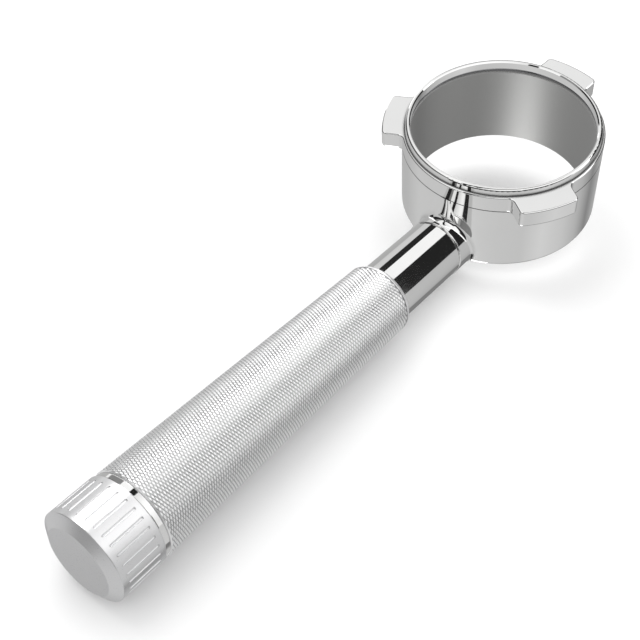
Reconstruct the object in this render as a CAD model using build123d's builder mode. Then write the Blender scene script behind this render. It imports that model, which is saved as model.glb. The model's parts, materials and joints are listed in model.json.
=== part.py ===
"""Bottomless three-lug portafilter for a 54 mm class espresso machine.

The head ring stands on the XY plane with its axis along +Z, and the handle runs out towards -Y.
Every piece of the handle is turned about one axis that rises away from the ring, and is drawn in
two numbers: its distance along that axis from the ring's axis, and its radius.
"""
from build123d import *
from math import cos, radians, sin, tan
import os

os.makedirs("parts", exist_ok=True)

# ---------------------------------------------------------------- driving dimensions, millimetres
# Head ring
bore_radius = 28.7
ring_wall = 2.5
shoulder_height = 29.1
lip_height = 2.3
lip_setback = 1.0
lip_rounding = 0.7
bottom_edge_rounding = 0.7
bore_chamfer = 0.35

# Bayonet lugs, flush with the shoulder
lug_count = 3
lug_turn = -5.5
lug_reach = 6.3
lug_width = 18.2
lug_thickness = 5.5
lug_corner_rounding = 1.7
lug_root_rounding = 2.2
lug_edge_rounding = 0.45

# Fine turned line under the lugs
line_width = 0.35
line_depth = 0.15

# Basket spring and its groove
spring_wire_radius = 0.55
spring_depth = 3.4
spring_opening_angle = 16.0
spring_setback = 0.1
spring_groove_height = 1.7
spring_groove_play = 0.1

# Handle axis
handle_rise = 9.0
handle_height_at_wall = 4.7

# Boss on the ring, a little wider than the neck
boss_margin = 0.14
boss_overhang = 4.6
boss_fillet = 1.5
boss_socket_wall = 1.2

# Gusset that runs up the wall from the boss to the turned line
gusset_sections = 5
gusset_foot_lift = 2.5
gusset_foot_setback = 0.6
gusset_top_radius = 4.4
gusset_front_setback = 0.3
gusset_top_reach = 0.3

# Joint ring between boss and neck
joint_ring_thickness = 0.7
joint_ring_margin = 0.29
joint_ring_rounding = 0.25

# Neck
neck_radius = 9.46
neck_length = 28.6
neck_edge_rounding = 0.5
neck_engagement = 3.2
stud_radius = 4.0
stud_play = 0.05
stud_chamfer = 0.5
stud_end_gap = 0.3

# Grip, a tapered tube
grip_length = 102.0
grip_front_wall = 1.71
grip_rear_wall = 3.24
grip_front_rounding = 1.6
grip_rear_chamfer = 0.3
grip_neck_play = 0.08
grip_washer_width = 0.76
grip_washer_thickness = 0.5

# Tie rod with its nuts and washers
rod_radius = 3.0
rod_play = 0.05
rod_hole_play = 0.15
rod_chamfer = 0.4
rod_end_gap = 0.5
rod_thread_depth = 14.0
rod_projection = 0.6
nut_across_flats = 10.0
tie_nut_height = 5.0
locknut_height = 3.2
nut_corner_radius = 5.9
nut_face_radius = 4.8
nut_corner_bevel = 0.6
flat_washer_play = 1.35
flat_washer_thickness = 1.2
spring_washer_setback = 0.8
spring_washer_thickness = 1.6
spring_washer_slit = 0.8

# Socket that the rod clamps against a step in the grip, and that takes the cap
socket_step = 1.8
socket_floor = 6.0
socket_wall = 2.42
socket_play = 0.03
socket_rear_setback = 0.2
running_play = 0.05

# End cap
accent_ring_width = 1.95
accent_ring_setback = 0.34
accent_ring_rounding = 0.3
cap_length = 15.75
cap_overhang = 0.13
cap_rear_chamfer_length = 1.8
cap_rear_chamfer_depth = 3.2
cap_front_chamfer = 0.3
cap_spigot_length = 8.4
cap_spigot_seat = 6.5
cap_spigot_step = 1.5
cap_spigot_wall = 1.8
cap_spigot_end_wall = 2.5
rod_cap_gap = 1.15
slot_count = 30
slot_width = 1.0
slot_depth = 0.5
slot_front_margin = 1.7
slot_rear_margin = 1.65

# O-ring on the spigot
o_ring_wire_radius = 0.65
o_ring_groove_play = 0.1
o_ring_setback = 2.4

# Reach of the edge selections past a face
edge_margin = 0.05

# ---------------------------------------------------------------- radii and places worked out
ring_radius = bore_radius + ring_wall
lip_radius = ring_radius - lip_setback
lug_radius = ring_radius + lug_reach
boss_radius = neck_radius + boss_margin
joint_ring_radius = neck_radius + joint_ring_margin
gusset_base_radius = boss_radius - gusset_foot_setback
grip_front_radius = neck_radius + grip_neck_play + grip_front_wall
grip_bore_radius = neck_radius - neck_edge_rounding - grip_washer_width
socket_radius = grip_bore_radius + socket_step
spigot_radius = socket_radius - socket_play - socket_wall - running_play
flat_washer_radius = spigot_radius + running_play - flat_washer_play
spring_washer_radius = flat_washer_radius - spring_washer_setback
grip_rear_radius = socket_radius + grip_rear_wall
accent_ring_radius = grip_rear_radius - accent_ring_setback
cap_radius = grip_rear_radius + cap_overhang
cap_seat_radius = spigot_radius - cap_spigot_step
cap_spigot_hole_radius = cap_seat_radius - cap_spigot_wall

lip_top = shoulder_height + lip_height
lug_bottom = shoulder_height - lug_thickness
spring_height = lip_top - spring_depth

rise = radians(handle_rise)
outward = (0, -cos(rise), sin(rise))
axis_foot = (0, 0, handle_height_at_wall - ring_radius * tan(rise))
handle_axis = Axis(axis_foot, outward)
# Half-profiles of turned pieces: local x runs along the handle, local y is the radius
profile_plane = Plane(origin=axis_foot, x_dir=outward, z_dir=(-1, 0, 0))


def station(distance):
    """Plane square to the handle axis, facing outwards, at a distance from the ring's axis."""
    origin = (0, -distance * cos(rise), axis_foot[2] + distance * sin(rise))
    return Plane(origin=origin, x_dir=(1, 0, 0), z_dir=outward)


def rims(piece, radius):
    """Circular edges of one radius."""
    circles = piece.edges().filter_by(GeomType.CIRCLE)
    return circles.filter_by(lambda edge: abs(edge.radius - radius) < 0.001)


wall_station = ring_radius / cos(rise)
boss_end = wall_station + boss_overhang
neck_start = boss_end + joint_ring_thickness
neck_end = neck_start + neck_length + neck_engagement
grip_start = neck_start + neck_length
grip_end = grip_start + grip_length
boss_socket_floor = bore_radius / cos(rise) + boss_socket_wall + stud_radius * tan(rise)
grip_washer_end = neck_end + grip_washer_thickness
cap_start = grip_end + accent_ring_width
cap_end = cap_start + cap_length
spigot_start = cap_start - cap_spigot_length
spigot_end = cap_start + cap_spigot_seat
# The clamped stack is set back from the spigot
rod_start = neck_end - rod_thread_depth
rod_end = spigot_start - rod_cap_gap
tie_nut_seat = rod_end - rod_projection - tie_nut_height
flat_washer_end = tie_nut_seat - spring_washer_thickness
nut_seat = flat_washer_end - flat_washer_thickness
socket_seat = nut_seat - socket_floor
slot_length = cap_length - slot_front_margin - slot_rear_margin - cap_rear_chamfer_length
o_ring_station = grip_end - o_ring_setback
o_ring_centre_radius = spigot_radius - o_ring_wire_radius
spring_centre_radius = bore_radius + spring_setback + spring_wire_radius
spring_groove_floor = spring_centre_radius + spring_wire_radius + spring_groove_play

# ---------------------------------------------------------------- head ring
boss_top_y = -boss_end * cos(rise) + boss_radius * sin(rise)
boss_centre_z = axis_foot[2] + boss_end * sin(rise)
gusset_foot_z = boss_centre_z + gusset_foot_lift
gusset_reach = -boss_top_y - ring_radius - gusset_front_setback
boss_root = boss_end - bore_radius / cos(rise) + boss_radius * tan(rise)

boss_low_y = -boss_end * cos(rise) - boss_radius * sin(rise)
boss_low_z = boss_centre_z - boss_radius * cos(rise)
underside_y = -ring_radius + bottom_edge_rounding

# Lug plate: blocks with a round outer end, rounded corners and hollow roots, round the ring's disc
with BuildPart() as lug_plate:
    with BuildSketch(Plane.XY.offset(lug_bottom)) as lug_outline:
        with PolarLocations(0, lug_count, start_angle=lug_turn - 90 + 180 / lug_count):
            Rectangle(lug_radius, lug_width, align=(Align.MIN, Align.CENTER))
        Circle(lug_radius, mode=Mode.INTERSECT)
        Circle(ring_radius)
        reach = lug_outline.vertices().group_by(lambda v: round(Vector(v.X, v.Y).length))
        fillet(reach[-1], lug_corner_rounding)
        reach = lug_outline.vertices().group_by(lambda v: round(Vector(v.X, v.Y).length))
        fillet(reach[0], lug_root_rounding)
    extrude(amount=lug_thickness)
    fillet(lug_plate.edges().group_by(Axis.Z)[0], lug_edge_rounding)

with BuildPart() as head_ring:
    with BuildSketch():
        Circle(ring_radius)
    extrude(amount=shoulder_height)
    fillet(head_ring.edges().group_by(Axis.Z)[0], bottom_edge_rounding)
    # Boss for the neck, with an end face square to the handle
    with BuildSketch(station(boss_end)):
        Circle(boss_radius)
    extrude(amount=-boss_root)
    # Gusset up the wall, through round sections that draw back and narrow on a curve
    for level in range(gusset_sections):
        share = level / (gusset_sections - 1)
        height = gusset_foot_z + (lug_bottom - gusset_foot_z) * share
        front = -ring_radius - gusset_top_reach - (gusset_reach - gusset_top_reach) * (1 - share) ** 2
        radius = gusset_top_radius + (gusset_base_radius - gusset_top_radius) * (1 - share)
        with BuildSketch(Plane.XY.offset(height)):
            with Locations((0, front + radius)):
                Circle(radius)
    loft()
    # Blend boss and gusset into the wall, leaving the end face and the turned line sharp
    end_face = head_ring.faces().sort_by(handle_axis)[-1]
    boss_edges = head_ring.edges().filter_by(lambda edge: edge.center().Y < -bore_radius)
    blend = boss_edges.filter_by_position(Axis.Z, edge_margin, lug_bottom - edge_margin)
    blend = blend.filter_by(lambda edge: edge not in end_face.edges())
    fillet(blend, boss_fillet)
    # Underside of the boss, drawn up from the end face to the ring's bottom edge
    with BuildSketch(Plane.YZ):
        with BuildLine():
            Polyline(
                (boss_low_y, boss_low_z),
                (underside_y, 0),
                (0, 0),
                (0, 2 * boss_low_z),
                (boss_low_y, 2 * boss_low_z),
                close=True,
            )
        make_face()
    extrude(amount=2 * boss_radius, both=True, mode=Mode.SUBTRACT)
    # Lugs, and one rounding that follows ring and lugs along the shoulder
    add(lug_plate.part)
    fillet(head_ring.edges().group_by(Axis.Z)[-1], lug_edge_rounding)
    # Raised lip
    with BuildSketch(Plane.XY.offset(shoulder_height)):
        Circle(lip_radius)
    extrude(amount=lip_height)
    fillet(head_ring.edges().group_by(Axis.Z)[-1], lip_rounding)
    # Basket bore, straight through, with a chamfer at its upper mouth
    with Locations((0, 0, lip_top)):
        Hole(bore_radius, depth=2 * lip_top)
    chamfer(rims(head_ring, bore_radius).sort_by(Axis.Z)[-1], bore_chamfer)
    with BuildSketch(Plane.XZ):
        # Groove for the basket spring, open to the bore
        with Locations((bore_radius, spring_height)):
            Rectangle(2 * (spring_groove_floor - bore_radius), spring_groove_height)
        # Fine turned line at the underside of the lugs
        with Locations((ring_radius, lug_bottom)):
            Rectangle(2 * line_depth, line_width)
    revolve(axis=Axis.Z, mode=Mode.SUBTRACT)
    # Threaded socket for the neck's stud
    with BuildSketch(station(boss_end)):
        Circle(stud_radius)
    extrude(amount=-(boss_end - boss_socket_floor), mode=Mode.SUBTRACT)
head_ring.part.label = "head_ring"
export_step(head_ring.part, "parts/head_ring.step")

# ---------------------------------------------------------------- basket spring
with BuildPart() as basket_spring:
    opening = radians(spring_opening_angle / 2)
    with BuildSketch(Plane(origin=(0, 0, 0), x_dir=(sin(opening), -cos(opening), 0),
                           z_dir=(-cos(opening), -sin(opening), 0))):
        with Locations((spring_centre_radius, spring_height)):
            Circle(spring_wire_radius)
    revolve(axis=Axis.Z, revolution_arc=360 - spring_opening_angle)
basket_spring.part.label = "basket_spring"
export_step(basket_spring.part, "parts/basket_spring.step")

# ---------------------------------------------------------------- neck
with BuildPart() as neck_joint_ring:
    with BuildSketch(station(boss_end)):
        Circle(joint_ring_radius)
        Circle(stud_radius, mode=Mode.SUBTRACT)
    extrude(amount=joint_ring_thickness)
    fillet(rims(neck_joint_ring, joint_ring_radius), joint_ring_rounding)
neck_joint_ring.part.label = "neck_joint_ring"
export_step(neck_joint_ring.part, "parts/neck_joint_ring.step")

with BuildPart() as neck:
    with BuildSketch(profile_plane):
        with BuildLine():
            Polyline(
                (boss_socket_floor + stud_end_gap, 0),
                (boss_socket_floor + stud_end_gap, stud_radius - stud_play - stud_chamfer),
                (boss_socket_floor + stud_end_gap + stud_chamfer, stud_radius - stud_play),
                (neck_start, stud_radius - stud_play),
                (neck_start, neck_radius),
                (neck_end, neck_radius),
                (neck_end, rod_radius + rod_play),
                (rod_start - rod_end_gap, rod_radius + rod_play),
                (rod_start - rod_end_gap, 0),
                close=True,
            )
        make_face()
    revolve(axis=handle_axis)
    fillet(rims(neck, neck_radius), neck_edge_rounding)
neck.part.label = "neck"
export_step(neck.part, "parts/neck.step")

# ---------------------------------------------------------------- grip
with BuildPart() as grip_washer:
    with BuildSketch(station(neck_end)):
        Circle(neck_radius - neck_edge_rounding)
        Circle(grip_bore_radius, mode=Mode.SUBTRACT)
    extrude(amount=grip_washer_thickness)
grip_washer.part.label = "grip_washer"
export_step(grip_washer.part, "parts/grip_washer.step")

with BuildPart() as grip:
    with BuildSketch(profile_plane) as grip_profile:
        with BuildLine():
            Polyline(
                (grip_start, neck_radius + grip_neck_play),
                (grip_start, grip_front_radius),
                (grip_end, grip_rear_radius),
                (grip_end, socket_radius),
                (socket_seat, socket_radius),
                (socket_seat, grip_bore_radius),
                (grip_washer_end, grip_bore_radius),
                (grip_washer_end, neck_radius + grip_neck_play),
                close=True,
            )
        make_face()
    revolve(axis=handle_axis)
    fillet(rims(grip, grip_front_radius), grip_front_rounding)
    chamfer(rims(grip, grip_rear_radius), grip_rear_chamfer)
grip.part.label = "grip"
export_step(grip.part, "parts/grip.step")

# ---------------------------------------------------------------- tie rod, nuts and washers
with BuildPart() as tie_rod:
    with BuildSketch(station(rod_start)):
        Circle(rod_radius)
    extrude(amount=rod_end - rod_start)
    chamfer(tie_rod.edges().filter_by(GeomType.CIRCLE), rod_chamfer)
tie_rod.part.label = "tie_rod"
export_step(tie_rod.part, "parts/tie_rod.step")

nuts = {"rod_locknut": (neck_end, locknut_height), "tie_nut": (tie_nut_seat, tie_nut_height)}
for name, (seat, height) in nuts.items():
    with BuildPart() as nut:
        with BuildSketch(station(seat)):
            RegularPolygon(nut_across_flats / 2, 6, major_radius=False)
            Circle(rod_radius + rod_play, mode=Mode.SUBTRACT)
        extrude(amount=height)
        # Both ends are turned down to a cone at the corners
        with BuildSketch(profile_plane):
            with BuildLine():
                Polyline(
                    (seat, nut_face_radius),
                    (seat + nut_corner_bevel, nut_corner_radius),
                    (seat + height - nut_corner_bevel, nut_corner_radius),
                    (seat + height, nut_face_radius),
                    (seat + height, 0),
                    (seat, 0),
                    close=True,
                )
            make_face()
        revolve(axis=handle_axis, mode=Mode.INTERSECT)
    nut.part.label = name
    export_step(nut.part, f"parts/{name}.step")

with BuildPart() as cap_socket:
    with BuildSketch(station(socket_seat)):
        Circle(socket_radius - socket_play)
    extrude(amount=grip_end - socket_rear_setback - socket_seat)
    with BuildSketch(station(nut_seat)):
        Circle(spigot_radius + running_play)
    extrude(amount=grip_end - nut_seat, mode=Mode.SUBTRACT)
    with BuildSketch(station(socket_seat)):
        Circle(rod_radius + rod_hole_play)
    extrude(amount=socket_floor, mode=Mode.SUBTRACT)
cap_socket.part.label = "cap_socket"
export_step(cap_socket.part, "parts/cap_socket.step")

with BuildPart() as flat_washer:
    with BuildSketch(station(nut_seat)):
        Circle(flat_washer_radius)
        Circle(rod_radius + rod_hole_play, mode=Mode.SUBTRACT)
    extrude(amount=flat_washer_thickness)
flat_washer.part.label = "flat_washer"
export_step(flat_washer.part, "parts/flat_washer.step")

with BuildPart() as spring_washer:
    with BuildSketch(station(flat_washer_end)):
        Circle(spring_washer_radius)
        Circle(rod_radius + rod_hole_play, mode=Mode.SUBTRACT)
        with Locations((0, spring_washer_radius)):
            Rectangle(spring_washer_slit, 2 * spring_washer_radius, mode=Mode.SUBTRACT)
    extrude(amount=spring_washer_thickness)
spring_washer.part.label = "spring_washer"
export_step(spring_washer.part, "parts/spring_washer.step")

# ---------------------------------------------------------------- end cap and what travels with it
with BuildPart() as accent_ring:
    with BuildSketch(station(grip_end)):
        Circle(accent_ring_radius)
        Circle(spigot_radius + running_play, mode=Mode.SUBTRACT)
    extrude(amount=accent_ring_width)
    fillet(rims(accent_ring, accent_ring_radius), accent_ring_rounding)
accent_ring.part.label = "accent_ring"
export_step(accent_ring.part, "parts/accent_ring.step")

with BuildPart() as cap_spigot:
    with BuildSketch(profile_plane):
        with BuildLine():
            Polyline(
                (spigot_start, cap_spigot_hole_radius),
                (spigot_start, spigot_radius - stud_chamfer),
                (spigot_start + stud_chamfer, spigot_radius),
                (cap_start, spigot_radius),
                (cap_start, cap_seat_radius),
                (spigot_end, cap_seat_radius),
                (spigot_end, 0),
                (spigot_end - cap_spigot_end_wall, 0),
                (spigot_end - cap_spigot_end_wall, cap_spigot_hole_radius),
                close=True,
            )
        make_face()
        with Locations((o_ring_station, o_ring_centre_radius)):
            Rectangle(2 * (o_ring_wire_radius + o_ring_groove_play), 2 * o_ring_wire_radius,
                      mode=Mode.SUBTRACT)
    revolve(axis=handle_axis)
cap_spigot.part.label = "cap_spigot"
export_step(cap_spigot.part, "parts/cap_spigot.step")

with BuildPart() as cap_o_ring:
    with BuildSketch(profile_plane):
        with Locations((o_ring_station, o_ring_centre_radius)):
            Circle(o_ring_wire_radius)
    revolve(axis=handle_axis)
cap_o_ring.part.label = "cap_o_ring"
export_step(cap_o_ring.part, "parts/cap_o_ring.step")

with BuildPart() as end_cap:
    with BuildSketch(profile_plane):
        with BuildLine():
            Polyline(
                (cap_start, cap_seat_radius),
                (cap_start, cap_radius - cap_front_chamfer),
                (cap_start + cap_front_chamfer, cap_radius),
                (cap_end - cap_rear_chamfer_length, cap_radius),
                (cap_end, cap_radius - cap_rear_chamfer_depth),
                (cap_end, 0),
                (spigot_end, 0),
                (spigot_end, cap_seat_radius),
                close=True,
            )
        make_face()
    revolve(axis=handle_axis)
    # Finger slots along the side, with round ends
    slot_centre = cap_start + slot_front_margin + slot_length / 2
    straight = slot_length - slot_width
    with Locations(station(slot_centre)):
        with PolarLocations(cap_radius, slot_count):
            Box(2 * slot_depth, slot_width, straight, mode=Mode.SUBTRACT)
            for end in (-straight / 2, straight / 2):
                with Locations((0, 0, end)):
                    Cylinder(slot_width / 2, 2 * slot_depth, rotation=(0, 90, 0), mode=Mode.SUBTRACT)
end_cap.part.label = "end_cap"
export_step(end_cap.part, "parts/end_cap.step")
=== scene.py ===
"""Looks of a bottomless portafilter, laid out as a Blender add-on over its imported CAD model."""
import json
from math import cos, degrees, pi, radians, sin, sqrt

import bmesh
import bpy
from mathutils import Matrix, Quaternion, Vector


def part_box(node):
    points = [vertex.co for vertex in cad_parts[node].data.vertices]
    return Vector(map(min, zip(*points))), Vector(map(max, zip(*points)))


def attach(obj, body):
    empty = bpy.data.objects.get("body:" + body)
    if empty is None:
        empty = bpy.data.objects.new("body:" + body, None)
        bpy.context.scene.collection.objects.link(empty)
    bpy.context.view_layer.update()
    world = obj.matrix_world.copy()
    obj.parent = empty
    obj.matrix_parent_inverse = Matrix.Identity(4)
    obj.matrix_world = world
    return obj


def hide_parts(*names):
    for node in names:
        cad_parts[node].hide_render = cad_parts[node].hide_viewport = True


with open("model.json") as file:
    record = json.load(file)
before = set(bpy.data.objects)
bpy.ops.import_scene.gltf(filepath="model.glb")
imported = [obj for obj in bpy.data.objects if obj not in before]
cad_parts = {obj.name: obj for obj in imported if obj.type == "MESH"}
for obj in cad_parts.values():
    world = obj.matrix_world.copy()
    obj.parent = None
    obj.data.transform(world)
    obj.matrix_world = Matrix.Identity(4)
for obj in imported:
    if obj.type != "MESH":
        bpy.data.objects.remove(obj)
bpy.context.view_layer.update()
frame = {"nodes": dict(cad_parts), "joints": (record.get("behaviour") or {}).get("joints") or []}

bl_info = {
    "name": "Portafilter",
    "version": (1, 0, 0),
    "blender": (4, 5, 0),
    "location": "3D View > Sidebar > Portafilter",
    "description": "Finishes, knurled grip, slotted cap and stage of a bottomless portafilter",
    "category": "Add Mesh",
}

MILLIMETRE = 0.001
EDGE_REACH = 0.1 * MILLIMETRE
MOUTH_REACH = 3 * MILLIMETRE
MERGE_DISTANCE = MILLIMETRE / 5000
POLE_RADIUS = MILLIMETRE / 1000

# ------------------------------------------------------------------ places read from the frame
RING_BODY = "ring_and_handle"
CAP_BODY = "cap"
cap_joint = next(joint for joint in frame["joints"] if joint["name"] == "cap_turn")
outward = Vector(cap_joint["axis"]).normalized()
cap_joint_place = Vector(cap_joint["pos_m"])
axis_foot = cap_joint_place - outward * (cap_joint_place.y / outward.y)
sideways = Vector((1, 0, 0))
upward = outward.cross(sideways) if outward.cross(sideways).z > 0 else sideways.cross(outward)


def along_and_radius(node):
    """Station along the handle and distance from its axis, of each vertex of a CAD node."""
    found = []
    for vertex in frame["nodes"][node].data.vertices:
        reach = vertex.co - axis_foot
        station = reach.dot(outward)
        found.append((station, (reach - outward * station).length))
    return found


def span(node):
    """First and last station of a turned CAD node."""
    stations = [station for station, radius in along_and_radius(node)]
    return min(stations), max(stations)


def radii_near(node, station, reach):
    """Smallest and largest radius of a turned CAD node close to a station."""
    radii = [radius for place, radius in along_and_radius(node) if abs(place - station) < reach]
    return min(radii), max(radii)


grip_front, grip_rear = span("grip")
mouth_radius, grip_front_radius = radii_near("grip", grip_front, MOUTH_REACH)
socket_radius, grip_rear_radius = radii_near("grip", grip_rear, MOUTH_REACH)
grip_bore_radius = min(radius for station, radius in along_and_radius("grip"))
washer_end = span("grip_washer")[1]
socket_seat = span("cap_socket")[0]
cap_front, cap_rear = span("end_cap")
cap_seat_radius = radii_near("end_cap", cap_front, EDGE_REACH)[0]
cap_radius = radii_near("end_cap", (cap_front + cap_rear) / 2, cap_rear - cap_front)[1]
cap_face_radius = radii_near("end_cap", cap_rear, EDGE_REACH)[1]
spigot_end = span("cap_spigot")[1]


def crest(station):
    """Radius of the grip's straight taper at a station."""
    share = (station - grip_front) / (grip_rear - grip_front)
    return grip_front_radius + (grip_rear_radius - grip_front_radius) * share


# ------------------------------------------------------------------ sizes and colours
def length_property(name, description, millimetres):
    """Length shown in the scene's unit, given here in millimetres."""
    return bpy.props.FloatProperty(name=name, description=description, default=millimetres * MILLIMETRE,
                                   min=0.0, precision=5, unit="LENGTH", subtype="DISTANCE")


def share_property(name, description, default):
    """Number from 0 to 1."""
    return bpy.props.FloatProperty(name=name, description=description, default=default,
                                   min=0.0, max=1.0, subtype="FACTOR")


def power_property(name, description, watts, precision=3):
    """Power of a lamp."""
    return bpy.props.FloatProperty(name=name, description=description, default=watts, min=0.0,
                                   unit="POWER", precision=precision)


def angle_property(name, description, in_degrees):
    """Angle, given here in degrees."""
    return bpy.props.FloatProperty(name=name, description=description, default=radians(in_degrees),
                                   unit="ROTATION", subtype="ANGLE")


def colour_property(name, description, default):
    """Plain linear colour."""
    return bpy.props.FloatVectorProperty(name=name, description=description, default=default,
                                         min=0.0, max=1.0, size=3, subtype="COLOR")


class PortafilterFinishes(bpy.types.PropertyGroup):
    """Colours and finishes."""
    steel_colour: colour_property("Steel", "Colour of the polished steel", (0.80, 0.80, 0.795))
    steel_roughness: share_property("Steel roughness", "Roughness of the polished steel", 0.045)
    # The bore's dark colour is partly its duller turned finish and partly painted shade of the ring's
    # inside.
    bore_colour_and_shade: colour_property("Bore", "Colour of the turned bore", (0.35, 0.35, 0.345))
    bore_roughness: share_property("Bore roughness", "Roughness of the turned bore", 0.45)
    grip_colour: colour_property("Grip", "Colour of the knurled aluminium", (0.96, 0.96, 0.965))
    # Painted shade: the share of the grip's colour left in the knurl's grooves.
    groove_shade: share_property("Groove shade", "Brightness of the knurl's grooves", 0.48)
    grip_roughness: share_property("Grip roughness", "Roughness of the knurled aluminium", 0.36)
    cap_colour: colour_property("Cap", "Colour of the satin aluminium cap", (0.70, 0.70, 0.705))
    cap_roughness: share_property("Cap roughness", "Roughness of the satin aluminium cap", 0.32)
    wire_colour: colour_property("Spring wire", "Colour of the basket spring", (0.22, 0.22, 0.225))
    fitting_colour: colour_property("Fittings", "Colour of the turned inner pieces", (0.60, 0.60, 0.60))
    washer_colour: colour_property("Spring washer", "Colour of the spring washer", (0.48, 0.48, 0.49))
    rubber_colour: colour_property("Rubber", "Colour of the seals", (0.018, 0.018, 0.019))


class PortafilterGrip(bpy.types.PropertyGroup):
    """Sizes of the knurled grip."""
    columns: bpy.props.IntProperty(name="Columns", description="Diamonds round the grip",
                                   default=36, min=12, max=120)
    front_pitch: length_property("Front pitch", "Length of a diamond at the grip's front", 1.08)
    rear_pitch: length_property("Rear pitch", "Length of a diamond at the grip's rear", 0.84)
    depth: length_property("Depth", "Height of the diamonds", 0.2)
    tip_share: share_property("Tip", "Width of a diamond's flat tip, as a share of its foot", 0.42)
    front_rounding: length_property("Front rounding", "Radius of the front edge", 1.6)
    rear_chamfer: length_property("Rear chamfer", "Chamfer of the rear edge", 0.3)
    plain_margin: length_property("Plain margin", "Plain band beside the front rounding", 0.15)


class PortafilterCap(bpy.types.PropertyGroup):
    """Sizes of the slotted end cap."""
    slots: bpy.props.IntProperty(name="Slots", description="Slots round the cap",
                                 default=30, min=6, max=60)
    first_slot: angle_property("First slot", "Angle of a slot from the cap's top towards +X", 2.7)
    slot_width: length_property("Slot width", "Width of a slot", 0.8)
    slot_length: length_property("Slot length", "Length of a slot with its round ends", 10.6)
    slot_rise: length_property("Slot rise", "Height of a slot's centre above the side", 0.05)
    slot_margin: length_property("Slot margin", "From the cap's front to the slots", 1.7)
    side_length: length_property("Side length", "Length of the straight side", 13.95)
    edge_rounding: length_property("Edge rounding", "Rounding of the cap's edges", 0.18)
    front_rounding: length_property("Front rounding", "Rounding of the cap's front edge", 0.3)
    segments: bpy.props.IntProperty(name="Segments", description="Facets round the cap",
                                    default=240, min=60, max=480)


class PortafilterStage(bpy.types.PropertyGroup):
    """Camera, floor and light."""
    camera_place: bpy.props.FloatVectorProperty(
        name="Camera", description="Place of the camera", default=(0.12780, -0.23136, 0.26199),
        size=3, unit="LENGTH", subtype="TRANSLATION")
    camera_turn: angle_property("Camera turn", "Heading of the camera to the left of +Y", 42.474)
    camera_tilt: angle_property("Camera tilt", "Angle of the camera below the horizon", 51.185)
    camera_roll: angle_property("Camera roll", "Roll of the camera, clockwise", 5.356)
    lens: bpy.props.FloatProperty(name="Lens", description="Focal length of the camera",
                                  default=62.2, unit="CAMERA")
    floor_colour: colour_property("Floor", "Colour of the floor", (0.88, 0.88, 0.88))
    floor_size: length_property("Floor size", "Side of the floor", 6000.0)
    room_light: bpy.props.FloatProperty(name="Room light", description="Strength of the even light",
                                        default=1.42, min=0.0)
    card_light: bpy.props.FloatProperty(name="Card light", description="Brightness of the white card",
                                        default=1.18, min=0.0)
    key_light: power_property("Key light", "Power of the soft lamp", 3.4)
    grip_light: power_property("Grip light", "Power of the handle's lamp", 4.2)
    bore_light: power_property("Bore light", "Power of the lamp on the ring's bore", 0.8)
    ring_glow: power_property("Ring glow", "Power of the ring's glow on the floor", 0.0035, precision=4)


# ------------------------------------------------------------------ small tools for node trees
class Tree:
    """Adds nodes to a tree and links them, one call for each."""

    def __init__(self, nodes_and_links):
        self.tree = nodes_and_links

    def feed(self, node, inputs):
        """Sets a node's inputs to values or links them to other nodes' outputs."""
        for socket, value in inputs.items():
            if isinstance(value, bpy.types.NodeSocket):
                self.tree.links.new(value, node.inputs[socket])
            else:
                node.inputs[socket].default_value = value

    def add(self, kind, inputs=None, **settings):
        """New node with its settings and inputs."""
        node = self.tree.nodes.new(kind)
        for name, value in settings.items():
            setattr(node, name, value)
        self.feed(node, inputs or {})
        return node

    def maths(self, operation, *values):
        """Result of a Math node."""
        return self.add("ShaderNodeMath", dict(enumerate(values)), operation=operation).outputs[0]

    def remap(self, value, low, high, to_low, to_high, smooth=False):
        """Value carried from one range to another and held at its ends."""
        node = self.add("ShaderNodeMapRange", {"Value": value, "From Min": low, "From Max": high,
                                               "To Min": to_low, "To Max": to_high},
                        interpolation_type="SMOOTHSTEP" if smooth else "LINEAR")
        return node.outputs["Result"]

    def blend(self, share, first, second):
        """One value turned into another as a share goes from 0 to 1."""
        node = self.add("ShaderNodeMix", {"Factor": share, "A": first, "B": second})
        return node.outputs["Result"]

    def blend_colour(self, share, first, second):
        """One colour turned into another as a share goes from 0 to 1."""
        node = self.add("ShaderNodeMix", {0: share, 6: first, 7: second}, data_type="RGBA")
        return node.outputs[2]

    def dot(self, vector, axis):
        """Share of a vector that lies along an axis."""
        node = self.add("ShaderNodeVectorMath", {0: vector, 1: axis}, operation="DOT_PRODUCT")
        return node.outputs["Value"]

    def angle(self, across, ahead):
        """Angle in degrees, from -180 to 180, of a direction from the one straight ahead."""
        return self.maths("MULTIPLY", self.maths("ARCTAN2", across, ahead), degrees(1))

    def round_levels(self, angle, stops):
        """Level read from (angle, level) stops that go from -180 to 180 degrees."""
        node = self.add("ShaderNodeValToRGB", {"Fac": self.remap(angle, -180, 180, 0.0, 1.0)})
        elements = node.color_ramp.elements
        while len(elements) < len(stops):
            elements.new(1.0)
        for element, (place, level) in zip(elements, stops):
            element.position = (place + 180) / 360
            element.color = (level, level, level, 1)
        return node.outputs["Color"]

    def bump(self, height, strength, depth):
        """Normals of a surface that a height from 0 to 1 roughens."""
        inputs = {"Strength": strength, "Distance": depth, "Height": height}
        return self.add("ShaderNodeBump", inputs).outputs["Normal"]


def blank_material(name):
    """Empty node material with its surface shader."""
    material = bpy.data.materials.new(name)
    material.use_nodes = True
    material.node_tree.nodes.clear()
    tree = Tree(material.node_tree)
    shader = tree.add("ShaderNodeBsdfPrincipled")
    tree.add("ShaderNodeOutputMaterial", {"Surface": shader.outputs["BSDF"]})
    return material, tree, shader


# ------------------------------------------------------------------ finishes
# Most of a noise's values lie in its range.
NOISE_RANGE = (0.3, 0.7)
NOISE_ROUGHNESS = 0.6

# Marks to the metre along each axis on polished and turned steel, finest up the ring's bore.
TURNING_MARKS = (900, 900, 9000)

# How many times longer than wide the lines on plain steel are.
LINE_STRETCH = 40
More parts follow.
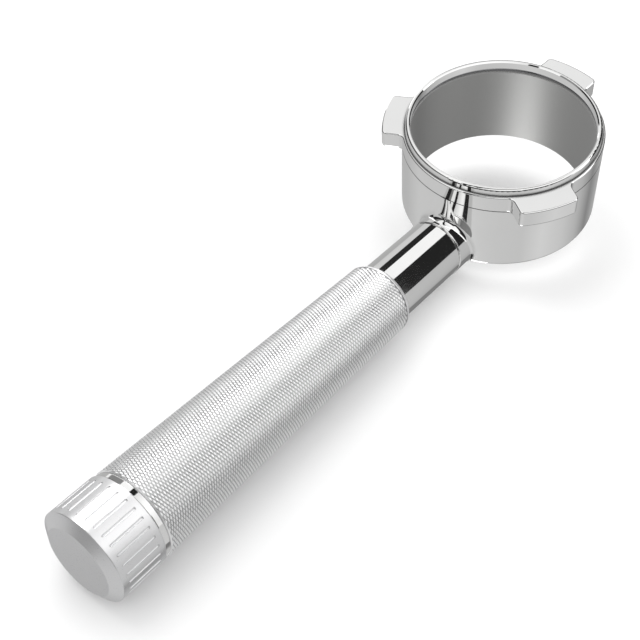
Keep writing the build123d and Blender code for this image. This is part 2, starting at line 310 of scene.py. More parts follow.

# Painted shade: the ring's colour darkens to a grey in its corners as the open share of what is
# within reach falls from the second of these shares to the first.
PAINTED_CORNER_SHADE = (0.03, 0.03, 0.03, 1)
CORNER_REACH = 1.3 * MILLIMETRE
CORNER_OPENNESS = (0.6, 0.92)
CORNER_SAMPLES = 8

# The knurl's attribute is 1 on its tips and 0 in its grooves, and its colour brightens over a
# stretch between them, out of the painted shade in the grooves.
CREST = "crest"
GROOVE_RISE = (0.05, 0.75)


def grain(tree, coordinates, scale, detail=3.0):
    """Noise from 0 to 1 with a given number of grains to the metre."""
    return tree.add("ShaderNodeTexNoise", {"Vector": coordinates, "Scale": scale, "Detail": detail,
                                           "Roughness": NOISE_ROUGHNESS}).outputs["Fac"]


def uneven(tree, noise, middle, share):
    """Value that a noise varies by a share to each side of its middle."""
    return tree.remap(noise, *NOISE_RANGE, middle * (1 - share), middle * (1 + share))


def tinted(tree, value, colour, low, high):
    """Colour that a value from 0 to 1 shades between two shares of it."""
    ramp = tree.add("ShaderNodeValToRGB", {"Fac": value})
    for stop, share in zip(ramp.color_ramp.elements, (low, high)):
        stop.color = (*(min(1.0, channel * share) for channel in colour), 1)
    return ramp.outputs["Color"]


def polished_steel(finishes, name="polished_steel", bore=None):
    """Mirror steel with a faint polishing haze; given a bore's (radius, height), a turned finish within it
    that is darkened partly as painted shade, and painted shade in the corners.
    """
    material, tree, shader = blank_material(name)
    place = tree.add("ShaderNodeTexCoord").outputs["Object"]
    haze = grain(tree, place, scale=90, detail=4.0)
    turning = tree.add("ShaderNodeMapping", {"Vector": place, "Scale": TURNING_MARKS})
    marks = grain(tree, turning.outputs["Vector"], scale=1.0, detail=2.0)
    colour = tinted(tree, haze, finishes.steel_colour, 0.97, 1.03)
    roughness = uneven(tree, haze, finishes.steel_roughness, share=0.3)
    if bore:
        bore_radius, bore_height = bore
        parts = tree.add("ShaderNodeSeparateXYZ", {"Vector": place}).outputs
        squares = [tree.maths("POWER", parts[axis], 2.0) for axis in "XY"]
        distance = tree.maths("SQRT", tree.maths("ADD", *squares))
        inside = tree.maths("LESS_THAN", distance, bore_radius)
        below = tree.maths("LESS_THAN", parts["Z"], bore_height)
        turned = tree.maths("MULTIPLY", inside, below)
        # Partly painted shade: the bore is coloured darker than its turned finish alone would make it.
        dull_and_shaded = tinted(tree, marks, finishes.bore_colour_and_shade, 0.9, 1.1)
        rough = uneven(tree, marks, finishes.bore_roughness, share=0.15)
        colour = tree.blend_colour(turned, colour, dull_and_shaded)
        roughness = tree.blend(turned, roughness, rough)
        # Painted shade: the colour turns dark grey where local occlusion finds the ring's corners and
        # grooves.
        corner = tree.add("ShaderNodeAmbientOcclusion", {"Distance": CORNER_REACH},
                          samples=CORNER_SAMPLES, only_local=True)
        openness = tree.remap(corner.outputs["AO"], *CORNER_OPENNESS, 0.0, 1.0)
        colour = tree.blend_colour(openness, PAINTED_CORNER_SHADE, colour)
    tree.feed(shader, {"Base Color": colour, "Metallic": 1.0, "Roughness": roughness,
                       "Normal": tree.bump(marks, strength=0.04, depth=0.02 * MILLIMETRE)})
    return material


def satin_aluminium(name, colour, roughness, metallic, painted_groove_shade=None):
    """Fine blasted and anodised aluminium, with painted shade darkening the knurl's grooves."""
    material, tree, shader = blank_material(name)
    place = tree.add("ShaderNodeTexCoord").outputs["Object"]
    fine = grain(tree, place, scale=5200, detail=2.0)
    broad = grain(tree, place, scale=160)
    shade = tinted(tree, broad, colour, 0.97, 1.03)
    if painted_groove_shade is not None:
        # Painted shade: the knurl's grooves take a darker colour than its tips.
        crest_share = tree.add("ShaderNodeAttribute", attribute_name=CREST).outputs["Fac"]
        rise = tree.remap(crest_share, *GROOVE_RISE, 0.0, 1.0, smooth=True)
        low = tinted(tree, broad, colour, painted_groove_shade * 0.97, painted_groove_shade * 1.03)
        shade = tree.blend_colour(rise, low, shade)
    tree.feed(shader, {"Base Color": shade, "Metallic": metallic,
                       "Roughness": uneven(tree, fine, roughness, share=0.15),
                       "Normal": tree.bump(fine, strength=0.12, depth=0.02 * MILLIMETRE)})
    return material


def plain_steel(name, colour, roughness, lines):
    """Turned or drawn steel with a number of fine lines to the metre, square to the handle."""
    material, tree, shader = blank_material(name)
    place = tree.add("ShaderNodeTexCoord").outputs["Object"]
    stretch = (lines / LINE_STRETCH, lines, lines / LINE_STRETCH)
    turned = tree.add("ShaderNodeMapping", {"Vector": place, "Scale": stretch})
    marks = grain(tree, turned.outputs["Vector"], scale=1.0, detail=2.0)
    tree.feed(shader, {"Base Color": tinted(tree, marks, colour, 0.88, 1.1), "Metallic": 1.0,
                       "Roughness": uneven(tree, marks, roughness, share=0.2),
                       "Normal": tree.bump(marks, strength=0.15, depth=0.03 * MILLIMETRE)})
    return material


def black_rubber(colour):
    """Matt rubber with a fine moulded grain."""
    material, tree, shader = blank_material("black_rubber")
    place = tree.add("ShaderNodeTexCoord").outputs["Object"]
    pores = grain(tree, place, scale=3500)
    tree.feed(shader, {"Base Color": tinted(tree, pores, colour, 0.8, 1.3),
                       "Roughness": tree.remap(pores, *NOISE_RANGE, 0.55, 0.75),
                       "Normal": tree.bump(pores, strength=0.2, depth=0.03 * MILLIMETRE)})
    return material


def finish_nodes(material, *nodes):
    """Gives the slots of CAD nodes one material."""
    for node in nodes:
        for slot in frame["nodes"][node].material_slots:
            slot.material = material


# ------------------------------------------------------------------ turned shapes
def on_handle(station, radius, turn):
    """Point at a station, radius and angle about the handle."""
    return axis_foot + outward * station + (upward * cos(turn) + sideways * sin(turn)) * radius


def rounded_corner(before, corner, after, radius, steps=8):
    """Arc that replaces a corner of an outline, with a short lead on each side."""
    inward, onward = (before - corner).normalized(), (after - corner).normalized()
    half = inward.angle(onward) / 2
    lead = radius * cos(half) / sin(half)
    centre = corner + (inward + onward).normalized() * (radius / sin(half))
    start, end = corner + inward * lead, corner + onward * lead
    spoke, last = start - centre, end - centre
    turn = spoke.angle_signed(last)
    arc = []
    for step in range(steps + 1):
        angle = -turn * step / steps
        arc.append(centre + Vector((spoke.x * cos(angle) - spoke.y * sin(angle),
                                    spoke.x * sin(angle) + spoke.y * cos(angle))))
    ease = radius / steps
    return [start + inward * ease, *arc, end + onward * ease]


def outline(corners):
    """Closed outline from (station, radius, rounding) corners."""
    places = [Vector(corner[:2]) for corner in corners]
    points = []
    for index, (station, radius, rounding) in enumerate(corners):
        if rounding:
            points += rounded_corner(places[index - 1], places[index],
                                     places[(index + 1) % len(places)], rounding)
        else:
            points.append(places[index])
    return points


def add_ring(shell, station, radius, count, phase=0.0):
    """Ring of vertices about the handle, or the one vertex of a pole."""
    if radius < POLE_RADIUS:
        return [shell.verts.new(on_handle(station, 0, 0))]
    return [shell.verts.new(on_handle(station, radius, (index + phase) * 2 * pi / count))
            for index in range(count)]


def join_rings(shell, first, second):
    """Faces between two rings, or between a ring and a pole."""
    count = max(len(first), len(second))
    for index in range(count):
        after = (index + 1) % count
        if len(first) == 1:
            shell.faces.new((first[0], second[after], second[index]))
        elif len(second) == 1:
            shell.faces.new((first[index], first[after], second[0]))
        else:
            shell.faces.new((first[index], first[after], second[after], second[index]))


def mesh_object(name, shell):
    """Object from a closed shell, its faces turned outwards."""
    bmesh.ops.remove_doubles(shell, verts=shell.verts, dist=MERGE_DISTANCE)
    bmesh.ops.recalc_face_normals(shell, faces=shell.faces)
    mesh = bpy.data.meshes.new(name)
    shell.to_mesh(mesh)
    shell.free()
    piece = bpy.data.objects.new(name, mesh)
    bpy.context.scene.collection.objects.link(piece)
    return piece


def crease(mesh, limit):
    """Keeps an edge sharp where its faces meet at more than the limit, and smooths the others."""
    shell = bmesh.new()
    shell.from_mesh(mesh)
    for edge in shell.edges:
        edge.smooth = len(edge.link_faces) == 2 and edge.calc_face_angle(pi) < limit
    shell.to_mesh(mesh)
    shell.free()


# ------------------------------------------------------------------ geometry node trees
def node_group(name, inputs):
    """Empty geometry tree with named inputs, its group input and a link to its output."""
    group = bpy.data.node_groups.new(name, "GeometryNodeTree")
    group.interface.new_socket("Geometry", in_out="INPUT", socket_type="NodeSocketGeometry")
    for label, kind in inputs.items():
        group.interface.new_socket(label, in_out="INPUT", socket_type=kind)
    group.interface.new_socket("Geometry", in_out="OUTPUT", socket_type="NodeSocketGeometry")
    tree = Tree(group)
    return group, tree, tree.add("NodeGroupInput").outputs


def finish_tree(tree, geometry, material):
    """Ends a tree in Realize Instances and Set Material."""
    real = tree.add("GeometryNodeRealizeInstances", {"Geometry": geometry})
    painted = tree.add("GeometryNodeSetMaterial", {"Geometry": real.outputs[0], "Material": material})
    tree.add("NodeGroupOutput", {"Geometry": painted.outputs[0]})


def run_tree(piece, group, values):
    """Runs a geometry tree on a piece and keeps its result as the piece's plain mesh."""
    modifier = piece.modifiers.new(group.name, "NODES")
    modifier.node_group = group
    for item in group.interface.items_tree:
        if item.in_out == "INPUT" and item.name in values:
            modifier[item.identifier] = values[item.name]
    shown = piece.evaluated_get(bpy.context.evaluated_depsgraph_get())
    made = bpy.data.meshes.new_from_object(shown)
    piece.modifiers.remove(modifier)
    piece.data = made
    made.name = piece.name
    return made


def keep_filled_slots(mesh):
    """Drops the empty material slots of a mesh made by a tree, and gives its faces the first filled one."""
    filled = [material for material in mesh.materials if material]
    mesh.materials.clear()
    for material in filled:
        mesh.materials.append(material)
    for polygon in mesh.polygons:
        polygon.material_index = 0


KNURLED = "knurled"


def knurl_tree():
    """Raises each marked face into a diamond with a flat tip."""
    group, tree, given = node_group("knurl", {
        "Depth": "NodeSocketFloat", "Tip": "NodeSocketFloat", "Material": "NodeSocketMaterial"})
    marked = tree.add("GeometryNodeInputNamedAttribute", {"Name": KNURLED}, data_type="BOOLEAN")
    raised = tree.add("GeometryNodeExtrudeMesh", {
        "Mesh": given["Geometry"], "Selection": marked.outputs["Attribute"],
        "Offset Scale": given["Depth"], "Individual": True}, mode="FACES")
    tips = tree.add("GeometryNodeScaleElements", {
        "Geometry": raised.outputs["Mesh"], "Selection": raised.outputs["Top"],
        "Scale": given["Tip"]}, domain="FACE")
    crests = tree.add("GeometryNodeStoreNamedAttribute", {
        "Geometry": tips.outputs["Geometry"], "Selection": raised.outputs["Top"], "Name": CREST,
        "Value": 1.0}, data_type="FLOAT", domain="POINT")
    finish_tree(tree, crests.outputs["Geometry"], given["Material"])
    return group


def slot_tree():
    """Cuts a ring of round-bottomed slots along the side of a turned shape.

    Each cutter is a ball pulled apart at its equator. An odd number of rings leaves no vertex there.
    """
    group, tree, given = node_group("slots", {
        "Count": "NodeSocketInt", "Radius": "NodeSocketFloat", "Width": "NodeSocketFloat",
        "Length": "NodeSocketFloat", "Centre": "NodeSocketVector", "Turn": "NodeSocketVector",
        "Material": "NodeSocketMaterial"})
    half_width = tree.maths("DIVIDE", given["Width"], 2.0)
    ball = tree.add("GeometryNodeMeshUVSphere", {"Segments": 20, "Rings": 11, "Radius": half_width})
    place = tree.add("GeometryNodeInputPosition").outputs[0]
    height = tree.add("ShaderNodeSeparateXYZ", {"Vector": place}).outputs["Z"]
    stretch = tree.maths("DIVIDE", tree.maths("SUBTRACT", given["Length"], given["Width"]), 2.0)
    pull = tree.maths("MULTIPLY", tree.maths("SIGN", height), stretch)
    shift = tree.add("ShaderNodeCombineXYZ", {"Z": pull})
    cutter = tree.add("GeometryNodeSetPosition", {
        "Geometry": ball.outputs["Mesh"], "Offset": shift.outputs["Vector"]})
    circle = tree.add("GeometryNodeMeshCircle", {"Vertices": given["Count"], "Radius": given["Radius"]})
    copies = tree.add("GeometryNodeInstanceOnPoints", {
        "Points": circle.outputs["Mesh"], "Instance": cutter.outputs["Geometry"]})
    laid = tree.add("GeometryNodeTransform", {
        "Geometry": copies.outputs["Instances"], "Translation": given["Centre"],
        "Rotation": given["Turn"]})
    real = tree.add("GeometryNodeRealizeInstances", {"Geometry": laid.outputs["Geometry"]})
    cut = tree.add("GeometryNodeMeshBoolean", {"Mesh 1": given["Geometry"], "Mesh 2": real.outputs[0]},
                   operation="DIFFERENCE", solver="EXACT")
    finish_tree(tree, cut.outputs["Mesh"], given["Material"])
    return group


# ------------------------------------------------------------------ pieces
class PORTAFILTER_OT_ring(bpy.types.Operator):
    """Finish the head ring and its basket spring"""
    bl_idname = "portafilter.ring"
    bl_label = "Head Ring"

    def execute(self, context):
        finishes = context.scene.portafilter_finishes
        spring_low, spring_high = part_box("basket_spring")
        ring_steel = polished_steel(finishes, "ring_steel", bore=(spring_high.x, spring_low.z))
        finish_nodes(ring_steel, "head_ring")
        spring_wire = plain_steel("spring_wire", finishes.wire_colour, roughness=0.22, lines=4000)
        finish_nodes(spring_wire, "basket_spring")
        # Out of reflections, so that the strips on the neck stay whole.
        for node in ("head_ring", "basket_spring"):
            frame["nodes"][node].visible_glossy = False
        return {"FINISHED"}


class PORTAFILTER_OT_neck(bpy.types.Operator):
    """Finish the neck, its joint ring and the accent ring"""
    bl_idname = "portafilter.neck"
    bl_label = "Neck and Rings"

    def execute(self, context):
        steel = polished_steel(context.scene.portafilter_finishes)
        finish_nodes(steel, "neck", "neck_joint_ring", "accent_ring")
        return {"FINISHED"}


class PORTAFILTER_OT_grip(bpy.types.Operator):
    """Make the tapered grip with its diamond knurl"""
    bl_idname = "portafilter.grip"
    bl_label = "Knurled Grip"
    crease_limit = radians(20)

    def execute(self, context):
        sizes = context.scene.portafilter_grip
        finishes = context.scene.portafilter_finishes
        knurl_start = grip_front + sizes.front_rounding + sizes.plain_margin
        knurl_end = grip_rear - sizes.rear_chamfer - sizes.depth

        shell = bmesh.new()
        knurled = shell.faces.layers.bool.new(KNURLED)
        crest_share = shell.verts.layers.float.new(CREST)
        lattice = self.lay_lattice(shell, knurled, self.row_stations(knurl_start, knurl_end, sizes), sizes)
        plain = [add_ring(shell, station, radius, sizes.columns)
                 for station, radius in self.plain_outline(knurl_start, knurl_end, sizes)]
        for vertex in sum(plain, []):
            vertex[crest_share] = 1.0
        rings = [lattice[-1], *plain, lattice[0]]
        for first, second in zip(rings, rings[1:]):
            join_rings(shell, first, second)

        grip = mesh_object("knurled_grip", shell)
        aluminium = satin_aluminium("knurled_aluminium", finishes.grip_colour, finishes.grip_roughness,
                                    metallic=0.85, painted_groove_shade=finishes.groove_shade)
        made = run_tree(grip, knurl_tree(), {
            "Depth": sizes.depth, "Tip": sizes.tip_share, "Material": aluminium})
        crease(made, self.crease_limit)
        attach(grip, RING_BODY)
        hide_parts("grip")
        return {"FINISHED"}

    def row_stations(self, start, end, sizes):
        """Stations of the knurl's rows, two to a diamond, which draw together towards the rear."""
        first_rate, last_rate = 1 / sizes.front_pitch, 1 / sizes.rear_pitch
        rows = 2 * round((first_rate + last_rate) / 2 * (end - start))
        growth = (last_rate - first_rate) / (end - start)
        return [start + row / (sqrt(first_rate ** 2 + growth * row) + first_rate) for row in range(rows + 1)]

    def lay_lattice(self, shell, knurled, stations, sizes):
        """Rings of the grooves' crossings, with a marked face for each diamond between them."""
        count = sizes.columns
        lattice = [add_ring(shell, station, crest(station) - sizes.depth, count, (row % 2) / 2)
                   for row, station in enumerate(stations)]
        for row in range(1, len(lattice) - 1):
            for column in range(count):
                onward = (column + 1) % count
                tip = onward if row % 2 else column
                face = shell.faces.new((lattice[row][column], lattice[row - 1][tip],
                                        lattice[row][onward], lattice[row + 1][tip]))
                face[knurled] = True
        for edge, inner in ((lattice[0], lattice[1]), (lattice[-1], lattice[-2])):
            for column in range(count):
                shell.faces.new((edge[column], edge[(column + 1) % count], inner[column]))
        return lattice

    def plain_outline(self, knurl_start, knurl_end, sizes):
        """(station, radius) corners from the knurl's rear through the bore and round the front edge."""
        rear_edge = knurl_end + sizes.depth
        front_edge = knurl_start - sizes.depth
        front = rounded_corner(Vector((grip_front, mouth_radius)), Vector((grip_front, crest(grip_front))),
                               Vector((grip_rear, crest(grip_rear))), sizes.front_rounding)
        return [
            (rear_edge, crest(rear_edge)), (grip_rear, crest(grip_rear) - sizes.rear_chamfer),
            (grip_rear, socket_radius), (socket_seat, socket_radius), (socket_seat, grip_bore_radius),
            (washer_end, grip_bore_radius), (washer_end, mouth_radius), (grip_front, mouth_radius),
            *((point.x, point.y) for point in front), (front_edge, crest(front_edge))]


class PORTAFILTER_OT_cap(bpy.types.Operator):
    """Make the end cap with its slots"""
    bl_idname = "portafilter.cap"
    bl_label = "End Cap"
    crease_limit = radians(32)

    def execute(self, context):
        sizes = context.scene.portafilter_cap
        finishes = context.scene.portafilter_finishes
        corners = [
            (cap_front, cap_seat_radius, 0), (cap_front, cap_radius, sizes.front_rounding),
            (cap_front + sizes.side_length, cap_radius, sizes.edge_rounding),
            (cap_rear, cap_face_radius, sizes.edge_rounding), (cap_rear, 0, 0),
            (spigot_end, 0, 0), (spigot_end, cap_seat_radius, 0)]
        shell = bmesh.new()
        rings = [add_ring(shell, point.x, point.y, sizes.segments) for point in outline(corners)]
        for first, second in zip(rings, rings[1:] + rings[:1]):
            if len(first) > 1 or len(second) > 1:
                join_rings(shell, first, second)
        cap = mesh_object("slotted_cap", shell)
        aluminium = satin_aluminium("cap_aluminium", finishes.cap_colour, finishes.cap_roughness,
                                    metallic=0.9)
        slot_centre = axis_foot + outward * (cap_front + sizes.slot_margin + sizes.slot_length / 2)
        first_slot = upward * cos(sizes.first_slot) + sideways * sin(sizes.first_slot)
        slot_turn = Matrix((first_slot, outward.cross(first_slot), outward)).transposed().to_euler()
        made = run_tree(cap, slot_tree(), {
            "Count": sizes.slots, "Radius": cap_radius + sizes.slot_rise, "Width": sizes.slot_width,
            "Length": sizes.slot_length, "Centre": slot_centre, "Turn": slot_turn, "Material": aluminium})
        keep_filled_slots(made)
        crease(made, self.crease_limit)
        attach(cap, CAP_BODY)
        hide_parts("end_cap")
        return {"FINISHED"}


class PORTAFILTER_OT_fittings(bpy.types.Operator):
    """Finish the pieces inside the handle"""
    bl_idname = "portafilter.fittings"
    bl_label = "Inner Fittings"

    def execute(self, context):
        finishes = context.scene.portafilter_finishes
        turned = plain_steel("turned_steel", finishes.fitting_colour, roughness=0.28, lines=9000)
        finish_nodes(turned, "tie_rod", "rod_locknut", "tie_nut", "flat_washer", "cap_socket", "cap_spigot")
        spring = plain_steel("spring_steel", finishes.washer_colour, roughness=0.34, lines=5000)
        finish_nodes(spring, "spring_washer")
        finish_nodes(black_rubber(finishes.rubber_colour), "grip_washer", "cap_o_ring")
        return {"FINISHED"}


# ------------------------------------------------------------------ what gloss sees
# Strips lie along the handle, and their edges are turns about it, in degrees from its top towards
# +X. Values in threes are for what the neck, the grip and the handle's end reflect, and change
# over where a direction's share along the handle passes through the first two ranges.
NECK_TO_GRIP = (-0.635, -0.61)
GRIP_TO_END = (-0.42, -0.395)
FLAG_START = (-56.0, -50.5, -80.0)
CARD_START = (-29.0, -50.0, -40.0)
CARD_END = (14.5, -4.0, -12.0)
FLAG_END = (85.0, -3.5, 2.0)
STRIP_BLUR = 0.7
CARD_LEVELS = (1.2, 1.05, 1.25)
FIRST_FLAG_LEVELS = (0.03, 0.6, 0.36)
LAST_FLAG_LEVEL = 0.025
SIDE_SHARES = (1.0, 2.4, 1.5)
SIDE_LEVELS = (
    (-180, 0.5), (-112, 0.75), (-67, 0.95), (3, 0.8), (40, 1.15), (78, 0.8), (94, 0.85), (110, 0.72),
    (134, 0.6), (180, 0.5))

# A low black band round the room, left open between two shares along the handle. A height is a
# direction's share of straight up.
BAND_FOOT, BAND_HEAD = (-0.02, 0.03), (0.50, 0.56)
BAND_FRONT_END, BAND_REAR_START = (-0.72, -0.68), (-0.30, -0.24)
BAND_LEVEL = 0.03

# The ground, by compass heading in degrees from +Y towards +X. It has a second set of levels for
# steeper directions and one level straight below, and each begins through a range of heights.
GROUND_TOP, STEEP_TOP, NADIR_TOP = (-0.06, -0.02), (-0.785, -0.765), (-0.93, -0.90)
GROUND_LEVELS = (
    (-180, 0.90), (-150, 0.85), (-105, 0.84), (-76, 0.68), (-36, 0.58), (0, 0.50), (18, 0.34), (40, 0.66),
    (63, 0.84), (92, 0.96), (117, 0.82), (145, 0.84), (180, 0.90))
STEEP_LEVELS = (
    (-180, 0.90), (-155, 0.80), (-133, 0.40), (-109, 0.05), (-73, 0.0), (-10, 0.30), (60, 0.30), (90, 0.0),
    (123, 0.05), (143, 0.35), (163, 0.80), (180, 0.90))
NADIR_LEVEL = 0.7


# ------------------------------------------------------------------ stage
def add_lamp(scene, name, power, place, turn, size, length=None, shadow=True, only_for=()):
    """Area lamp, a disk unless it has a length, that lights only some objects where they are given."""
    light = bpy.data.lights.new(name, "AREA")
    light.energy = power
    light.use_shadow = shadow
    light.shape = "RECTANGLE" if length else "DISK"
    light.size = size
    light.size_y = length or size
    lamp = bpy.data.objects.new(name, light)
    scene.collection.objects.link(lamp)
    lamp.location = place
    lamp.rotation_mode = "QUATERNION"
    lamp.rotation_quaternion = turn
    if only_for:
        lit = bpy.data.collections.new(name + "_lit")
        for piece in only_for:
            lit.objects.link(piece)
        lamp.light_linking.receiver_collection = lit
    return lamp


def facing(place, target):
    """Turn of a lamp at a place that points it at a target."""
    return (target - place).to_track_quat("-Z", "Y")


class PORTAFILTER_OT_stage(bpy.types.Operator):
    """Make the camera, the floor and the light"""
    bl_idname = "portafilter.stage"
    bl_label = "Stage"

    # Places and sizes of the lamps in metres. The grip's lamp stands at an angle about the handle,
    # leans towards the ring and is tilted by about half as much.
    key_place = Vector((-0.5, 0.15, 0.85))
    key_target = Vector((0, -0.08, 0))
    key_size = 0.9
    grip_lamp_distance = 0.8
    grip_lamp_size = 0.34
    grip_lamp_length = 0.9
    grip_lamp_turn = radians(-27)
    grip_lamp_lean = radians(30)
    grip_lamp_tilt = radians(14.6)
    glow_place = Vector((0.020, -0.034, 0.030))
    glow_size = 0.030
    bore_lamp_place = Vector((-0.01, -0.26, -0.43))
    bore_lamp_size = 0.25

    def execute(self, context):
        stage = context.scene.portafilter_stage
        self.make_camera(context.scene, stage)
        floor = self.make_floor(context.scene, stage)
        self.make_lamps(context.scene, stage, floor)
        self.make_room(context.scene, stage)
        context.scene.view_settings.view_transform = "Standard"
        return {"FINISHED"}

    def make_camera(self, scene, stage):
        """Stands above the handle's end, on its +X side."""
        camera = bpy.data.objects.new("camera", bpy.data.cameras.new("camera"))
        scene.collection.objects.link(camera)
        camera.data.lens = stage.lens
        camera.data.clip_start = 10 * MILLIMETRE
        camera.matrix_world = (
            Matrix.Translation(stage.camera_place)
            @ Matrix.Rotation(stage.camera_turn, 4, "Z")
            @ Matrix.Rotation(pi / 2 - stage.camera_tilt, 4, "X")
            @ Matrix.Rotation(-stage.camera_roll, 4, "Z"))
        scene.camera = camera

    def make_floor(self, scene, stage):
        """The handle lies on the front edges of its grip and its cap, with the ring held just clear."""
        toe_station = grip_front + scene.portafilter_grip.front_rounding
        toe = on_handle(toe_station, crest(toe_station), pi)
        heel = on_handle(cap_front + scene.portafilter_cap.front_rounding, cap_radius, pi)
        run = (toe - heel).normalized()
        lay = Matrix((sideways, run, sideways.cross(run))).transposed().to_4x4()
        lay.translation = toe
        shell = bmesh.new()
        bmesh.ops.create_grid(shell, x_segments=1, y_segments=1, size=stage.floor_size / 2, matrix=lay)
        mesh = bpy.data.meshes.new("floor")
        shell.to_mesh(mesh)
        shell.free()
        floor = bpy.data.objects.new("floor", mesh)
        scene.collection.objects.link(floor)
        material, tree, shader = blank_material("floor_paint")
        place = tree.add("ShaderNodeTexCoord").outputs["Object"]
        paint = tinted(tree, grain(tree, place, scale=3, detail=2.0), stage.floor_colour, 0.995, 1.005)
        tree.feed(shader, {"Base Color": paint, "Roughness": 0.7})
        mesh.materials.append(material)
        floor.visible_glossy = False
        return floor

    def make_lamps(self, scene, stage, floor):
        """A soft lamp for all, one for the satin pieces, and light thrown on the floor and up the bore."""
        soft = add_lamp(scene, "soft_lamp", stage.key_light, self.key_place,
                        facing(self.key_place, self.key_target), self.key_size)

        above = cos(self.grip_lamp_turn) * upward + sin(self.grip_lamp_turn) * sideways
        way = cos(self.grip_lamp_lean) * above - sin(self.grip_lamp_lean) * outward
        place = on_handle((grip_front + grip_rear) / 2, 0, 0) + self.grip_lamp_distance * way
        back = cos(self.grip_lamp_tilt) * above - sin(self.grip_lamp_tilt) * outward
        side = outward.cross(above)
        turn = Matrix((side, back.cross(side), back)).transposed().to_quaternion()
        satin_pieces = [bpy.data.objects[name] for name in ("knurled_grip", "slotted_cap")]
        add_lamp(scene, "grip_lamp", stage.grip_light, place, turn,
                 self.grip_lamp_size, self.grip_lamp_length, only_for=satin_pieces)

        glow = add_lamp(scene, "ring_glow", stage.ring_glow, self.glow_place, Quaternion(),
                        self.glow_size, shadow=False, only_for=[floor])
        bore = add_lamp(scene, "bore_lamp", stage.bore_light, self.bore_lamp_place,
                        facing(self.bore_lamp_place, Vector()), self.bore_lamp_size, shadow=False,
                        only_for=[frame["nodes"]["head_ring"]])
        soft.visible_glossy = False
        glow.visible_glossy = False
        bore.visible_camera = False

    def make_room(self, scene, stage):
        """Even light, with cards and a shaded ground that only gloss shows."""
        world = bpy.data.worlds.new("studio")
        scene.world = world
        world.use_nodes = True
        world.node_tree.nodes.clear()
        tree = Tree(world.node_tree)
        way = tree.add("ShaderNodeTexCoord").outputs["Generated"]
        parts = tree.add("ShaderNodeSeparateXYZ", {"Vector": way}).outputs
        height = parts["Z"]
        along = tree.dot(way, outward)
        turn = tree.angle(tree.dot(way, sideways), tree.dot(way, upward))
        heading = tree.angle(parts["X"], parts["Y"])
        cards = self.lay_strips(tree, turn, along, stage.card_light)
        cards = self.lay_band(tree, cards, height, along)
        cards = self.lay_ground(tree, cards, height, heading)
        glossy = tree.add("ShaderNodeLightPath").outputs["Is Glossy Ray"]
        light = tree.add("ShaderNodeBackground", {"Strength": tree.blend(glossy, stage.room_light, cards)})
        tree.add("ShaderNodeOutputWorld", {"Surface": light.outputs["Background"]})

    def lay_strips(self, tree, turn, along, card_light):
        """A white card with a dark flag on each side, over levels that change round the handle."""

        def by_place(neck, grip, end):
            """Value for a direction whose reflection is seen on the neck, the grip or the end."""
            return tree.maths("ADD", tree.remap(along, *NECK_TO_GRIP, neck, grip),
                              tree.remap(along, *GRIP_TO_END, 0.0, end - grip))

        def after(edge):
            """0 before an edge and 1 after it."""
            return tree.remap(tree.maths("SUBTRACT", turn, edge), -STRIP_BLUR / 2, STRIP_BLUR / 2, 0.0, 1.0)

        def between(first, last):
            """1 between two edges and 0 elsewhere."""
            return tree.maths("SUBTRACT", after(first), after(last))

        flag_start, card_start, card_end, flag_end = (
            by_place(*edge) for edge in (FLAG_START, CARD_START, CARD_END, FLAG_END))
        sides = tree.maths("MULTIPLY", tree.round_levels(turn, SIDE_LEVELS), by_place(*SIDE_SHARES))
        card = tree.maths("MULTIPLY", by_place(*CARD_LEVELS), card_light)
        strips = tree.blend(between(card_start, card_end), sides, card)
        strips = tree.blend(between(flag_start, card_start), strips, by_place(*FIRST_FLAG_LEVELS))
        return tree.blend(between(card_end, flag_end), strips, LAST_FLAG_LEVEL)

    def lay_band(self, tree, cards, height, along):
        """The low black band, beyond the strips that the neck and the grip show."""
        low = tree.maths("MULTIPLY", tree.remap(height, *BAND_FOOT, 0.0, 1.0),
                         tree.remap(height, *BAND_HEAD, 1.0, 0.0))
        beside = tree.maths("ADD", tree.remap(along, *BAND_FRONT_END, 1.0, 0.0),
                            tree.remap(along, *BAND_REAR_START, 0.0, 1.0))
        return tree.blend(tree.maths("MULTIPLY", low, beside), cards, BAND_LEVEL)

    def lay_ground(self, tree, cards, height, heading):
        """The ground's levels below the horizon, darker or brighter by heading."""
        ground = tree.round_levels(heading, GROUND_LEVELS)
        steep = tree.round_levels(heading, STEEP_LEVELS)
        steep = tree.blend(tree.remap(height, *NADIR_TOP, 1.0, 0.0), steep, NADIR_LEVEL)
        ground = tree.blend(tree.remap(height, *STEEP_TOP, 1.0, 0.0), ground, steep)
        return tree.blend(tree.remap(height, *GROUND_TOP, 1.0, 0.0), cards, ground)


# ------------------------------------------------------------------ panel and registration
PIECES = (PORTAFILTER_OT_ring, PORTAFILTER_OT_neck, PORTAFILTER_OT_grip, PORTAFILTER_OT_cap,
          PORTAFILTER_OT_fittings, PORTAFILTER_OT_stage)
GROUPS = {"portafilter_finishes": PortafilterFinishes, "portafilter_grip": PortafilterGrip,
          "portafilter_cap": PortafilterCap, "portafilter_stage": PortafilterStage}


class PORTAFILTER_PT_panel(bpy.types.Panel):
    """Lists the pieces and their sizes"""
    bl_idname = "PORTAFILTER_PT_panel"
    bl_label = "Portafilter"
    bl_space_type = "VIEW_3D"
    bl_region_type = "UI"
    bl_category = "Portafilter"

    def draw(self, context):
        for piece in PIECES:
            self.layout.operator(piece.bl_idname)
        for group in GROUPS:
            box = self.layout.box()
            settings = getattr(context.scene, group)
            for name in settings.bl_rna.properties.keys():
                if name not in {"rna_type", "name"}:
                    box.prop(settings, name)


def register():
    """Adds the sizes to the scene, then the operators and the panel."""
    for group, kind in GROUPS.items():
        bpy.utils.register_class(kind)
        setattr(bpy.types.Scene, group, bpy.props.PointerProperty(type=kind))
    for piece in (*PIECES, PORTAFILTER_PT_panel):
        bpy.utils.register_class(piece)


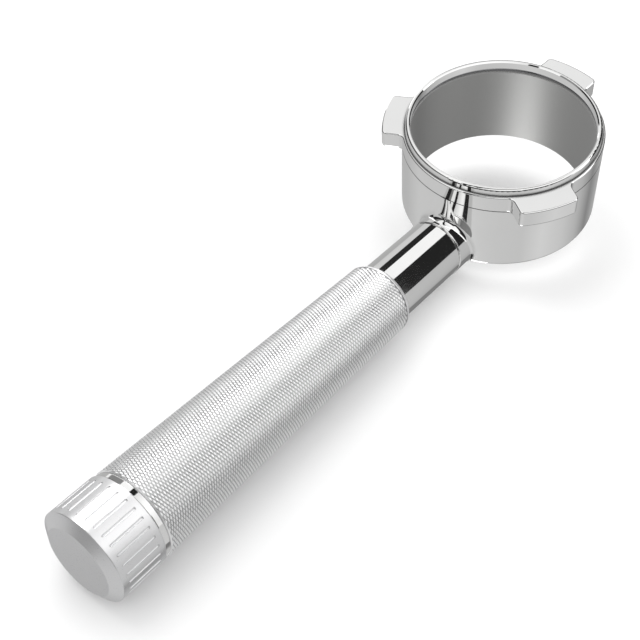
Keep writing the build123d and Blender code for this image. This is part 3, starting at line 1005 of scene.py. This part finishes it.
def unregister():
    """Takes away what register adds."""
    for piece in (PORTAFILTER_PT_panel, *reversed(PIECES)):
        bpy.utils.unregister_class(piece)
    for group, kind in GROUPS.items():
        delattr(bpy.types.Scene, group)
        bpy.utils.unregister_class(kind)


def main():
    """Makes every piece and the stage."""
    register()
    for piece in PIECES:
        category, name = piece.bl_idname.split(".")
        getattr(getattr(bpy.ops, category), name)()


if __name__ == "__main__":
    main()
